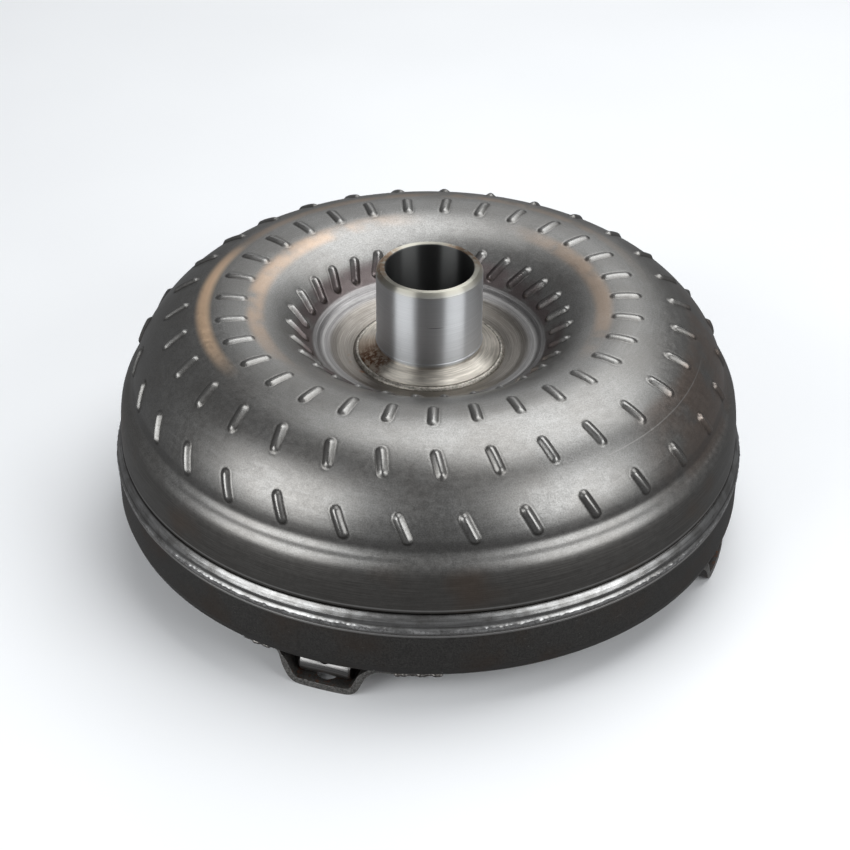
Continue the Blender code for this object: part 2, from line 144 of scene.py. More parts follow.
def add_piece(name, mesh, looks, body=HOUSING, replaces=()):
    """Makes the mesh a piece that rides on a CAD body and stands for the CAD nodes it replaces."""
    obj = bpy.data.objects.new(name, mesh)
    bpy.context.scene.collection.objects.link(obj)
    for look in looks:
        mesh.materials.append(look)
    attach(obj, body)
    if replaces:
        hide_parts(*replaces)
    return obj


def lathe_mesh(name, outline, steps=STEPS, relief=None, sharp=35.0, attributes=None):
    """A turned mesh. relief(along, angle, radius, height) moves its surface outwards, in millimetres."""
    points = np.array(outline, float)
    following = np.roll(points, -1, axis=0)
    if (points[:, 0] * following[:, 1] - following[:, 0] * points[:, 1]).sum() > 0:
        points = points[::-1]
    on_axis = bool((points[:, 0] < 1e-6).any())
    if on_axis:
        last = int(np.argmax((points[:, 0] < 1e-6) & (np.roll(points[:, 0], -1) < 1e-6)))
        points = np.roll(points, -(last + 1), axis=0)
    tangent = np.roll(points, -1, axis=0) - np.roll(points, 1, axis=0)
    if on_axis:
        tangent[0], tangent[-1] = points[1] - points[0], points[-1] - points[-2]
    tangent /= np.maximum(np.hypot(*tangent.T), 1e-9)[:, None]
    normal = np.stack([-tangent[:, 1], tangent[:, 0]], axis=1)
    gaps = np.hypot(*np.diff(points, axis=0).T)
    along = np.concatenate([[0], np.cumsum(gaps)])[:, None]
    angle = (2 * math.pi * np.arange(steps) / steps)[None, :]
    radius, height = points[:, :1], points[:, 1:]
    moved = relief(along, angle, radius, height) if relief else np.zeros((len(points), steps))
    r = radius + normal[:, :1] * moved
    z = height + normal[:, 1:] * moved
    corners = np.stack([r * np.cos(angle), r * np.sin(angle), z * np.ones_like(angle)], axis=-1)
    corners = corners.reshape(-1, 3) * MM
    rows = len(points)
    i, j = np.meshgrid(np.arange(rows - 1 if on_axis else rows), np.arange(steps), indexing="ij")
    below, beside = (i + 1) % rows, (j + 1) % steps
    here, under = i * steps, below * steps
    quads = np.stack([here + j, under + j, under + beside, here + beside], axis=-1)
    mesh = bpy.data.meshes.new(name)
    mesh.from_pydata(corners.tolist(), [], quads.reshape(-1, 4).tolist())
    for key, values in (attributes or {}).items():
        layer = mesh.attributes.new(key, "FLOAT", "POINT")
        layer.data.foreach_set("value", values(along, angle, radius, height).astype(np.float32).ravel())
    if on_axis:
        shape = bmesh.new()
        shape.from_mesh(mesh)
        bmesh.ops.remove_doubles(shape, verts=shape.verts, dist=1e-7)
        bmesh.ops.dissolve_degenerate(shape, edges=shape.edges, dist=1e-8)
        shape.to_mesh(mesh)
        shape.free()
    smooth(mesh, sharp)
    return mesh


def smooth(mesh, sharp):
    mesh.polygons.foreach_set("use_smooth", [True] * len(mesh.polygons))
    mesh.set_sharp_from_angle(angle=math.radians(sharp))
    mesh.update()


def finished_mesh(obj):
    """The object's mesh with its modifiers applied. The object is removed."""
    graph = bpy.context.evaluated_depsgraph_get()
    mesh = bpy.data.meshes.new_from_object(obj.evaluated_get(graph))
    bpy.data.objects.remove(obj, do_unlink=True)
    return mesh


def helper(mesh):
    obj = bpy.data.objects.new("helper", mesh)
    bpy.context.scene.collection.objects.link(obj)
    return obj


def cut(mesh, cutter, bevel, segments, bevel_slot=OWN_SLOT):
    """The mesh with the cutter taken away and its edges bevelled. Bevels may have their own look."""
    obj = helper(mesh)
    hole = helper(cutter)
    boolean = obj.modifiers.new("Cut", "BOOLEAN")
    boolean.operation = "DIFFERENCE"
    boolean.solver = "EXACT"
    boolean.object = hole
    edges = obj.modifiers.new("Edges", "BEVEL")
    edges.width = bevel * MM
    edges.segments = segments
    edges.limit_method = "ANGLE"
    edges.angle_limit = math.radians(BEVELLED_OVER)
    edges.material = bevel_slot
    made = finished_mesh(obj)
    bpy.data.objects.remove(hole, do_unlink=True)
    return made


# ---------------------------------------------------------------- materials


class Look:
    """A procedural material. Each method adds a node and returns what it puts out."""

    def __init__(self, name, metallic=1.0):
        self.material = bpy.data.materials.new(name)
        self.material.use_nodes = True
        self.tree = self.material.node_tree
        self.shader = self.tree.nodes["Principled BSDF"]
        self.shader.inputs["Metallic"].default_value = metallic
        place = self.add("TexCoord", output="Object")
        self.place = self.add("VectorMath", place, operation="SCALE", Scale=1 / MM)
        x, y, self.height = self.split(self.place)
        flat = self.add("CombineXYZ", x, y, 0.0)
        self.radius = self.add("VectorMath", flat, operation="LENGTH", output="Value")
        self.side = self.add("VectorMath", flat, operation="NORMALIZE")

    def add(self, kind, *values, output=0, **settings):
        node = self.tree.nodes.new("ShaderNode" + kind)
        for key, value in settings.items():
            if key in node.inputs:
                self.feed(node.inputs[key], value)
            else:
                setattr(node, key, value)
        for socket, value in zip(node.inputs, values):
            self.feed(socket, value)
        return node.outputs[output]

    def feed(self, socket, value):
        if isinstance(value, bpy.types.NodeSocket):
            self.tree.links.new(value, socket)
        elif isinstance(value, tuple) and len(value) == 3 and socket.type == "RGBA":
            socket.default_value = (*value, 1.0)
        else:
            socket.default_value = value

    def split(self, vector):
        node = self.tree.nodes.new("ShaderNodeSeparateXYZ")
        self.tree.links.new(vector, node.inputs[0])
        return node.outputs

    def math(self, operation, *values):
        return self.add("Math", *values, operation=operation)

    def times(self, a, b):
        return self.math("MULTIPLY", a, b)

    def plus(self, a, b):
        return self.math("ADD", a, b)

    def ramp(self, value, low, high, to_low=0.0, to_high=1.0):
        """to_low where value is under low, to_high over high, and a smooth turn between."""
        return self.add(
            "MapRange", value, low, high, to_low, to_high, interpolation_type="SMOOTHSTEP", clamp=True
        )

    def band(self, value, low, high, soft):
        """1 where value lies between low and high."""
        return self.times(self.ramp(value, low - soft, low), self.ramp(value, high, high + soft, 1.0, 0.0))

    def noise(self, scale, detail=3.0, roughness=0.55):
        """Even speckle, about 0.3 to 0.7. scale is per millimetre."""
        return self.add("TexNoise", Vector=self.place, Scale=scale, Detail=detail, Roughness=roughness)

    def lines(self, fineness, length=3.0, detail=4.0):
        """Lines that run round the axis, as a lathe, a grinder or a wire brush leaves them."""
        around = self.add("VectorMath", self.side, operation="SCALE", Scale=length)
        x, y, _ = self.split(around)
        across = self.times(self.plus(self.radius, self.times(self.height, 1.37)), fineness)
        vector = self.add("CombineXYZ", x, y, across)
        return self.add("TexNoise", Vector=vector, Scale=1.0, Detail=detail, Roughness=0.6)

    def side_of(self, degrees, width):
        """1 on the side that faces this way, counted from +X, and 0 more than width away from it."""
        direction = (math.cos(math.radians(degrees)), math.sin(math.radians(degrees)), 0.0)
        facing = self.add("VectorMath", self.side, direction, operation="DOT_PRODUCT", output="Value")
        return self.ramp(facing, math.cos(math.radians(width)), 1.0)

    def mix(self, factor, a, b):
        node = self.tree.nodes.new("ShaderNodeMix")
        node.data_type = "RGBA"
        for socket, value in zip((node.inputs[0], node.inputs[6], node.inputs[7]), (factor, a, b)):
            self.feed(socket, value)
        return node.outputs[2]

    def attribute(self, name):
        return self.add("Attribute", attribute_name=name, output="Fac")

    def bump(self, height, distance, strength=1.0, normal=None):
        """distance is the relief's height in millimetres."""
        node = self.tree.nodes.new("ShaderNodeBump")
        node.inputs["Strength"].default_value = strength
        node.inputs["Distance"].default_value = distance * MM
        self.feed(node.inputs["Height"], height)
        if normal is not None:
            self.feed(node.inputs["Normal"], normal)
        return node.outputs[0]

    def finish(self, colour, roughness, normal=None, anisotropic=0.0):
        self.feed(self.shader.inputs["Base Color"], colour)
        self.feed(self.shader.inputs["Roughness"], roughness)
        if normal is not None:
            self.feed(self.shader.inputs["Normal"], normal)
        if anisotropic:
            self.shader.inputs["Anisotropic"].default_value = anisotropic
            self.shader.inputs["Anisotropic Rotation"].default_value = 0.25
            tangent = self.add("Tangent", direction_type="RADIAL", axis="Z")
            self.feed(self.shader.inputs["Tangent"], tangent)
        return self.material


def shell_look():
    """Washed bare pressing: warm grey grain, brown heat tint in rings, lathe marks in the dish, and painted
    shade and highlights on the dimples, an arc and the skirt.
    """
    look = Look("Impeller shell steel")
    grain = look.noise(1.6, 4.0, 0.7)
    cloud = look.noise(0.03, 3.0)
    brushed = look.lines(1.4, 9.0)
    colour = look.mix(look.ramp(grain, 0.3, 0.7), (0.185, 0.18, 0.17), (0.30, 0.293, 0.28))
    colour = look.mix(look.times(look.ramp(cloud, 0.35, 0.65), 0.4), colour, (0.17, 0.158, 0.143))
    colour = look.mix(look.times(look.ramp(brushed, 0.45, 0.75), 0.2), colour, (0.36, 0.355, 0.345))
    colour = heat_tints_and_arc_highlight(look, colour)
    colour = look.mix(dish_share(look), colour, dish_colour(look))
    rust = look.ramp(look.noise(0.25, 5.0, 0.7), 0.5, 0.68)
    rust = look.times(rust, look.times(look.band(look.radius, 35.0, 39.0, 3.0), look.side_of(205, 26)))
    colour = look.mix(look.times(rust, 0.85), colour, (0.20, 0.085, 0.03))
    colour = skirt_colour(look, colour)

    # Painted shade: a dark line round each dimple's foot. Painted highlight: the dimple tops are lighter,
    # and also glossier.
    outline = look.attribute("dimple_edge_shade")
    painted_highlight_tops = look.attribute("dimple_top_highlight")
    colour = look.mix(look.times(outline, 0.6), colour, (0.05, 0.045, 0.04))
    colour = look.mix(look.times(painted_highlight_tops, 0.15), colour, (0.42, 0.41, 0.39))

    rough = look.ramp(look.noise(0.35, 4.0, 0.65), 0.3, 0.7, 0.34, 0.42)
    rough = look.plus(rough, look.times(painted_highlight_tops, -0.08))
    relief = look.bump(grain, 0.03)
    relief = look.bump(look.times(look.lines(2.6, 2.0, 5.0), dish_share(look)), 0.05, 1.0, relief)
    relief = look.bump(brushed, 0.01, 1.0, relief)
    return look.finish(colour, rough, relief)


def heat_tints_and_arc_highlight(look, colour):
    """Brown arcs over the dimple rings, the outer one with a painted highlight in bright peach on its left,
    a brown patch to the right, and purple round the dish.
    """
    patchy = look.ramp(look.noise(0.05, 3.0), 0.28, 0.55)
    inner_sides = look.math("MAXIMUM", look.side_of(160, 72), look.times(look.side_of(14, 52), 0.8))
    inner_arc = look.times(look.band(look.radius, 82.0, 85.0, 4.5), look.times(inner_sides, patchy))
    colour = look.mix(look.times(inner_arc, 0.5), colour, (0.56, 0.38, 0.25))
    outer_arc = look.band(look.radius, 107.5, 109.0, 4.0)
    faint = look.times(look.times(outer_arc, look.side_of(110, 110)), patchy)
    colour = look.mix(look.times(faint, 0.4), colour, (0.48, 0.33, 0.22))
    # Painted highlight: the outer arc's heat tint turns bright peach on the left side
    colour = look.mix(look.times(outer_arc, look.side_of(181, 36)), colour, (0.98, 0.70, 0.47))
    right_tint = look.times(look.band(look.radius, 128.0, 143.0, 6.0), look.side_of(-14, 34))
    colour = look.mix(look.times(look.times(right_tint, patchy), 0.4), colour, (0.26, 0.165, 0.115))

    purple = look.times(
        look.band(look.radius, 57.5, 62.0, 4.5), look.ramp(look.noise(0.09, 2.0), 0.3, 0.55)
    )
    return look.mix(look.times(purple, 0.6), colour, (0.14, 0.095, 0.095))


def skirt_colour(look, colour):
    """Dark drawn steel below the crease, a painted highlight as a pale lip at the seam, painted shade along
    the crease, and a thin ring mark.
    """
    skirt = look.ramp(look.height, 70.0, 78.0, 1.0, 0.0)
    drawn = look.lines(1.8, 7.0, 4.0)
    dark_steel = look.mix(look.ramp(drawn, 0.35, 0.7), (0.125, 0.118, 0.108), (0.205, 0.195, 0.18))
    colour = look.mix(look.times(skirt, 0.75), colour, dark_steel)
    brown = look.times(skirt, look.times(look.ramp(look.noise(0.022, 2.0), 0.5, 0.68), 0.4))
    colour = look.mix(brown, colour, (0.20, 0.13, 0.085))
    # Painted highlight: a pale line along the skirt's lip above the seam
    lip = look.band(look.height, 53.9, 54.4, 0.3)
    colour = look.mix(look.times(lip, 0.7), colour, (0.52, 0.51, 0.49))
    # Painted shade: a dark band along the concave crease
    crease = look.band(look.height, 82.0, 85.0, 2.0)
    colour = look.mix(look.times(crease, 0.35), colour, (0.10, 0.095, 0.09))
    ring_mark = look.times(look.band(look.radius, 131.2, 131.4, 0.15), look.side_of(-32, 24))
    return look.mix(look.times(ring_mark, 0.5), colour, (0.55, 0.53, 0.5))


def dish_share(look):
    """1 in the turned dish around the hub."""
    return look.ramp(look.radius, DISH_RADIUS - 0.6, DISH_RADIUS + 1.2, 1.0, 0.0)


def dish_colour(look):
    """Brown-grey next to the weld, then plain grey, with a pale ring near the dish's edge."""
    turned = look.ramp(look.lines(2.6, 2.0, 5.0), 0.35, 0.7)
    inner = look.mix(turned, (0.165, 0.148, 0.128), (0.27, 0.25, 0.225))
    outer = look.mix(turned, (0.155, 0.147, 0.143), (0.29, 0.28, 0.273))
    colour = look.mix(look.ramp(look.radius, 46.0, 50.0), inner, outer)
    ring = look.band(look.radius, 51.0, 51.6, 0.5)
    return look.mix(look.times(ring, 0.35), colour, (0.42, 0.41, 0.39))


def hub_look():
    """Ground sleeve: bright, with fine lines round it, a brown bloom on the rim and a bore darkened by
    painted shade.
    """
    look = Look("Ground hub steel")
    fine = look.lines(6.0, 0.8, 3.0)
    coarse = look.lines(0.9, 0.8, 3.0)
    colour = look.mix(look.ramp(fine, 0.3, 0.7), (0.47, 0.475, 0.48), (0.57, 0.575, 0.58))
    colour = look.mix(look.times(look.ramp(coarse, 0.5, 0.7), 0.15), colour, (0.40, 0.40, 0.40))
    speck = look.ramp(look.noise(0.4, 4.0, 0.6), 0.66, 0.74)
    colour = look.mix(look.times(speck, 0.25), colour, (0.26, 0.25, 0.24))
    scratch = look.times(look.band(look.height, 120.7, 120.9, 0.15), look.side_of(277, 10))
    colour = look.mix(look.times(scratch, 0.8), colour, (0.12, 0.12, 0.12))
    on_rim = look.ramp(look.height, HUB_TOP - 3.5, HUB_TOP - 0.8)
    bloom = look.math("MAXIMUM", look.side_of(35, 44), look.side_of(170, 48))
    bloom = look.times(look.times(bloom, on_rim), look.ramp(look.noise(0.35, 4.0), 0.3, 0.55))
    straw = look.mix(on_rim, colour, (0.44, 0.42, 0.36))
    colour = look.mix(look.times(bloom, 0.85), straw, (0.24, 0.14, 0.075))
    flange = look.ramp(look.height, 97.8, 99.2, 1.0, 0.0)
    turned = look.lines(2.4, 2.0, 4.0)
    worked = look.mix(look.ramp(turned, 0.35, 0.68), (0.42, 0.385, 0.335), (0.72, 0.67, 0.59))
    colour = look.mix(flange, colour, worked)
    tan = look.times(flange, look.side_of(195, 34))
    colour = look.mix(look.times(tan, 0.5), colour, (0.36, 0.22, 0.12))
    rust = look.times(look.ramp(look.noise(0.3, 5.0, 0.7), 0.42, 0.56), look.side_of(206, 26))
    colour = look.mix(look.times(look.times(rust, flange), 0.9), colour, (0.14, 0.055, 0.02))
    # Painted shade: the bore inside the sleeve is made dark
    bore = look.ramp(look.radius, 21.3, 21.5, 1.0, 0.0)
    colour = look.mix(bore, colour, (0.10, 0.10, 0.097))
    rough = look.ramp(coarse, 0.3, 0.7, 0.42, 0.46)
    relief = look.bump(fine, 0.002)
    relief = look.bump(look.times(turned, flange), 0.04, 1.0, relief)
    return look.finish(colour, rough, relief, anisotropic=1.0)


def weld_look(name, bright):
    """Weld metal: granular and silvery."""
    look = Look(name)
    grit = look.noise(1.1, 5.0, 0.75)
    dark = tuple(0.4 * c for c in bright)
    colour = look.mix(look.ramp(grit, 0.35, 0.65), dark, bright)
    soot = look.ramp(look.noise(0.3, 4.0), 0.45, 0.65)
    colour = look.mix(look.times(soot, 0.5), colour, (0.08, 0.07, 0.06))
    return look.finish(colour, look.ramp(grit, 0.3, 0.7, 0.3, 0.45), look.bump(grit, 0.08))


def rolled_weld_look():
    """A smooth band with an irregular bright flash along its foot, and painted shade in dark grooves beside
    it.
    """
    look = Look("Closing weld metal")
    grain = look.noise(1.4, 4.0, 0.7)
    rows = look.lines(1.3, 10.0, 4.0)
    colour = look.mix(look.ramp(rows, 0.3, 0.7), (0.25, 0.245, 0.237), (0.43, 0.425, 0.415))
    stain = look.ramp(look.noise(0.12, 4.0), 0.42, 0.62)
    colour = look.mix(look.times(stain, 0.45), colour, (0.12, 0.112, 0.10))
    colour = look.mix(look.times(look.ramp(grain, 0.45, 0.7), 0.3), colour, (0.15, 0.145, 0.14))
    flash = look.attribute("flash")
    sparkle = look.ramp(look.noise(0.8, 4.0, 0.7), 0.36, 0.54)
    colour = look.mix(look.times(flash, sparkle), colour, (0.86, 0.85, 0.83))
    # Painted shade in the gap under the skirt and in the groove across the band
    colour = look.mix(look.times(look.attribute("groove_shade"), 0.85), colour, (0.035, 0.032, 0.03))
    rough = look.ramp(grain, 0.3, 0.7, 0.27, 0.36)
    relief = look.bump(grain, 0.03)
    relief = look.bump(rows, 0.03, 1.0, relief)
    return look.finish(colour, rough, relief)


def cover_look():
    """Dark oxide on a heavy pressing, scuffed, with a brown bloom low down."""
    look = Look("Cover oxide", metallic=0.85)
    grain = look.noise(1.3, 5.0, 0.75)
    cloud = look.noise(0.035, 4.0)
    colour = look.mix(look.ramp(grain, 0.3, 0.7), (0.045, 0.043, 0.041), (0.092, 0.088, 0.083))
    colour = look.mix(look.times(look.ramp(cloud, 0.45, 0.7), 0.5), colour, (0.075, 0.055, 0.042))
    scuff = look.ramp(look.lines(1.0, 26.0, 5.0), 0.66, 0.74)
    colour = look.mix(look.times(scuff, 0.4), colour, (0.30, 0.29, 0.28))
    chips = look.ramp(look.noise(0.24, 4.0, 0.6), 0.71, 0.75)
    colour = look.mix(look.times(chips, 0.6), colour, (0.36, 0.35, 0.34))
    bright_lip = look.band(look.height, 41.2, 42.4, 0.4)
    colour = look.mix(look.times(bright_lip, 0.5), colour, (0.4, 0.39, 0.38))
    rough = look.ramp(grain, 0.3, 0.7, 0.42, 0.6)
    relief = look.bump(grain, 0.07)
    relief = look.bump(cloud, 0.5, 0.4, relief)
    return look.finish(colour, rough, relief)


def lug_look():
    """Dark mill scale with rust and drawing streaks."""
    look = Look("Lug scale", metallic=0.8)
    grain = look.noise(1.2, 5.0, 0.75)
    streak = look.noise(0.35, 5.0, 0.7)
    colour = look.mix(look.ramp(grain, 0.3, 0.7), (0.05, 0.047, 0.044), (0.12, 0.115, 0.108))
    rust = look.ramp(streak, 0.5, 0.66)
    inside = look.band(look.height, 2.0, 5.5, 1.0)
    rust = look.times(rust, look.plus(look.times(inside, 0.6), 0.18))
    colour = look.mix(rust, colour, (0.17, 0.065, 0.03))
    scratch = look.ramp(look.lines(1.6, 5.0, 4.0), 0.62, 0.7)
    colour = look.mix(look.times(scratch, 0.35), colour, (0.33, 0.31, 0.29))
    rough = look.ramp(grain, 0.3, 0.7, 0.36, 0.58)
    return look.finish(colour, rough, look.bump(grain, 0.08))


def worn_edge_look():
    """Steel rubbed bright along an edge."""
    look = Look("Worn edge")
    wear = look.ramp(look.noise(0.7, 5.0, 0.7), 0.36, 0.6)
    colour = look.mix(wear, (0.26, 0.24, 0.22), (0.78, 0.76, 0.72))
    rough = look.ramp(wear, 0.0, 1.0, 0.5, 0.3)
    return look.finish(colour, rough, look.bump(wear, 0.05))


def sheared_look():
    """The cut edge of the lug's sheet."""
    look = Look("Sheared edge", metallic=0.9)
    tear = look.noise(0.9, 5.0, 0.8)
    colour = look.mix(look.ramp(tear, 0.35, 0.65), (0.10, 0.095, 0.09), (0.33, 0.32, 0.30))
    return look.finish(colour, look.ramp(tear, 0.3, 0.7, 0.35, 0.55), look.bump(tear, 0.15))


def machined_look(name, dark, light, rough=0.25, fineness=3.0, anisotropic=0.3, tint=None):
    """Turned or ground metal, with lines round the axis and light mottling."""
    look = Look(name)
    turned = look.lines(fineness, 2.0, 5.0)
    mottle = look.noise(0.12, 4.0)
    colour = look.mix(look.ramp(turned, 0.3, 0.7), dark, light)
    colour = look.mix(look.times(look.ramp(mottle, 0.45, 0.7), 0.3), colour, tint or dark)
    roughness = look.ramp(turned, 0.3, 0.7, rough, rough + 0.12)
    return look.finish(colour, roughness, look.bump(turned, 0.02), anisotropic)


def pressed_look(name, dark, light, rough=0.36):
    """Pressed sheet with a fine even grain and faint drawing marks."""
    look = Look(name)
    grain = look.noise(1.5, 5.0, 0.7)
    stain = look.noise(0.06, 3.0)
    colour = look.mix(look.ramp(grain, 0.3, 0.7), dark, light)
    colour = look.mix(look.times(look.ramp(stain, 0.45, 0.7), 0.35), colour, tuple(0.7 * c for c in dark))
    return look.finish(colour, look.ramp(grain, 0.3, 0.7, rough, rough + 0.1), look.bump(grain, 0.03))


def cast_look(name, dark, light):
    """Die-cast alloy: sandy, with cloudy patches."""
    look = Look(name, metallic=0.9)
    sand = look.noise(0.9, 6.0, 0.8)
    cloud = look.noise(0.08, 3.0)
    colour = look.mix(look.ramp(sand, 0.3, 0.7), dark, light)
    colour = look.mix(look.times(look.ramp(cloud, 0.4, 0.7), 0.3), colour, dark)
    return look.finish(colour, look.ramp(sand, 0.3, 0.7, 0.42, 0.58), look.bump(sand, 0.12))


def lining_look():
    """Paper friction material: matt brown fibres."""
    look = Look("Friction paper", metallic=0.0)
    fibre = look.noise(1.8, 6.0, 0.85)
    colour = look.mix(look.ramp(fibre, 0.3, 0.7), (0.06, 0.04, 0.025), (0.2, 0.14, 0.09))
    return look.finish(colour, 0.9, look.bump(fibre, 0.12))


def rubber_look():
    look = Look("Seal rubber", metallic=0.0)
    grain = look.noise(2.0, 3.0)
    colour = look.mix(look.ramp(grain, 0.3, 0.7), (0.012, 0.012, 0.012), (0.03, 0.03, 0.03))
    return look.finish(colour, look.ramp(grain, 0.3, 0.7, 0.5, 0.65), look.bump(grain, 0.02))


# ---------------------------------------------------------------- impeller shell

SHELL_CREST = [
    (DISH_RADIUS, 99.8), (60.2, 103.6), (66.0, 109.2), (75.0, 115.2), (85.0, 118.9), (96.0, 120.0),
    (107.0, 118.6), (117.0, 115.4), (126.0, 110.2), (133.5, 103.2), (139.5, 94.8), (142.3, 88.4),
    (143.4, 84.4), (144.1, 81.2), (145.5, 78.8), (147.6, 76.9), (149.3, 74.0), (150.4, 69.0),
    (151.1, 61.0), (151.2, SEAM_HEIGHT + 0.6),
]
SHELL_INSIDE = [
    (146.3, 38.0), (148.2, 60.0), (146.2, 73.0), (141.4, 83.0), (136.4, 94.0), (124.5, 107.6),
    (106.3, 115.6), (96.0, 117.0), (85.6, 115.9), (67.6, 106.3), (55.2, 97.0), (36.9, 89.8),
]
DISH = [(36.9, 92.9), (40.0, 94.0), (44.5, 95.2), (48.0, 96.9), (52.5, 98.0), (54.6, 99.4)]

# The rings of raised dimples over the blade tabs: radius, height, phase, length, slant and rise
DIMPLE_RINGS = [
    (63.2, 106.5, -1.1, 15.2, -23.0, 1.5),
    (95.0, 120.0, -7.5, 15.0, -3.0, 1.0),
    (122.0, 112.8, -6.4, 14.8, 12.0, 1.4),
    (141.2, 91.0, -1.4, 15.6, 25.0, 1.6),
]
DIMPLE_WIDTH = 5.0
SHELL_SPACING = 0.75
SHELL_STEPS = BLADES * 40


def shell_outline():
    crest = smooth_path(SHELL_CREST, SHELL_SPACING)
    dish = spaced(rounded(DISH, 2.0, closed=False), SHELL_SPACING)
    lap = [(150.9, SEAM_HEIGHT), (149.3, SEAM_HEIGHT - 0.2), (149.3, 38.0)]
    return dish + crest + lap + SHELL_INSIDE


def dimple_depth(along, angle, radius, height):
    """How far inside the nearest dimple a point lies, and how much that dimple rises.

    The depth is 1 on the dimple's spine, 0 on its edge, and below 0 outside it.
    """
    inside = np.full(np.broadcast(along, angle).shape, -9.0)
    rises = np.zeros(inside.shape)
    dice = np.random.default_rng(31)
    pitch = 2 * math.pi / BLADES
    outside = height > SEAM_HEIGHT
    for ring_radius, ring_height, phase, length, slant, rise in DIMPLE_RINGS:
        miss = np.hypot(radius - ring_radius, height - ring_height) + 1e3 * ~outside
        row = int(np.argmin(miss[:, 0]))
        number = np.round((angle - math.radians(phase)) / pitch).astype(int)
        shift = dice.normal(0, 0.22, (2, BLADES))[:, number % BLADES]
        offset = angle - math.radians(phase) - number * pitch
        across = ring_radius * offset * (radius / ring_radius) + shift[0]
        out = along - along[row] + shift[1]
        turn = math.radians(slant)
        u = out * math.cos(turn) + across * math.sin(turn)
        v = across * math.cos(turn) - out * math.sin(turn)
        straight = (length - DIMPLE_WIDTH) / 2
        from_spine = np.hypot(np.maximum(np.abs(u) - straight, 0), v)
        depth = np.where(outside, 1 - from_spine / (DIMPLE_WIDTH / 2), -9.0)
        rises = np.where(depth > inside, rise, rises)
        inside = np.maximum(inside, depth)
    return inside, rises


def shell_relief(along, angle, radius, height):
    depth, rise = dimple_depth(along, angle, radius, height)
    raised = np.sin(np.clip(depth, 0, 1) * math.pi / 2) ** 1.15 * rise
    moat = -0.12 * np.exp(-(((depth + 0.12) / 0.16) ** 2))
    drawn = 0.06 * ripple(angle, along, 5, 9, 90.0) + 0.03 * ripple(angle, along, 6, 40, 30.0)
    outside = step_between(height, SEAM_HEIGHT + 2, SEAM_HEIGHT + 8) * (radius > DISH_RADIUS)
    return raised + moat + drawn * outside


# Mask for the painted shade round each dimple's foot
def dimple_edge_shade(along, angle, radius, height):
    depth, _ = dimple_depth(along, angle, radius, height)
    return np.exp(-(((depth - 0.06) / 0.15) ** 2))


# Mask for the painted highlight on each dimple's top
def dimple_top_highlight(along, angle, radius, height):
    depth, _ = dimple_depth(along, angle, radius, height)
    return step_between(depth, 0.45, 0.85)


def build_shell():
    mesh = lathe_mesh(
        "shell_pressing",
        shell_outline(),
        SHELL_STEPS,
        shell_relief,
        60.0,
        {"dimple_edge_shade": dimple_edge_shade, "dimple_top_highlight": dimple_top_highlight},
    )
    add_piece("shell_pressing", mesh, [shell_look()], replaces=["impeller_shell"])


# ---------------------------------------------------------------- hub and its weld


def build_hub():
    sleeve = [
        (21.6, HUB_TOP, 0.2), (23.7, HUB_TOP, 0.3), (25.5, HUB_TOP - 2.2, 0.4), (25.5, 100.6, 0.2),
        (25.9, 100.3, 0.2), (25.9, 99.7, 0.2), (25.3, 99.2, 0.2), (25.3, 97.6, 0.4), (27.2, 97.0, 0.5),
        (29.6, 96.6, 0.8), (32.2, 95.4, 0.8), (34.2, 94.2, 0.3), (34.2, 88.0, 0.3), (19.2, 88.0, 0.3),
        (19.2, 105.0, 0.3), (21.1, 107.0, 0.3), (21.1, HUB_TOP - 0.5, 0.2),
    ]
    mesh = lathe_mesh("hub_sleeve", rounded(sleeve, 0.3), STEPS, sharp=50.0)
    add_piece("hub_sleeve", mesh, [hub_look()], replaces=["impeller_hub"])


def build_hub_weld():
    bead = [
        (34.0, 93.9), (34.9, 94.3, 0.3), (35.6, 94.2, 0.5), (36.4, 93.6, 0.4), (36.9, 92.9), (36.8, 90.2),
        (34.0, 90.2),
    ]
    outline = spaced(rounded(bead, 0.3), 0.25)

    def relief(along, angle, radius, height):
        on_top = step_between(height, 92.5, 93.8)
        fine, broad = ripple(angle, along, 11, 90, 3.0), ripple(angle, along, 12, 24, 6.0)
        return on_top * (0.04 * fine + 0.05 * broad)

    mesh = lathe_mesh("hub_weld_bead", outline, STEPS, relief, 60.0)
    look = weld_look("Hub weld metal", (0.42, 0.39, 0.34))
    add_piece("hub_weld_bead", mesh, [look], replaces=["hub_weld"])


# ---------------------------------------------------------------- closing weld

FLASH_HEIGHT = 44.4  # middle of the irregular flash under the rolled band
WELD_STEPS = 1800


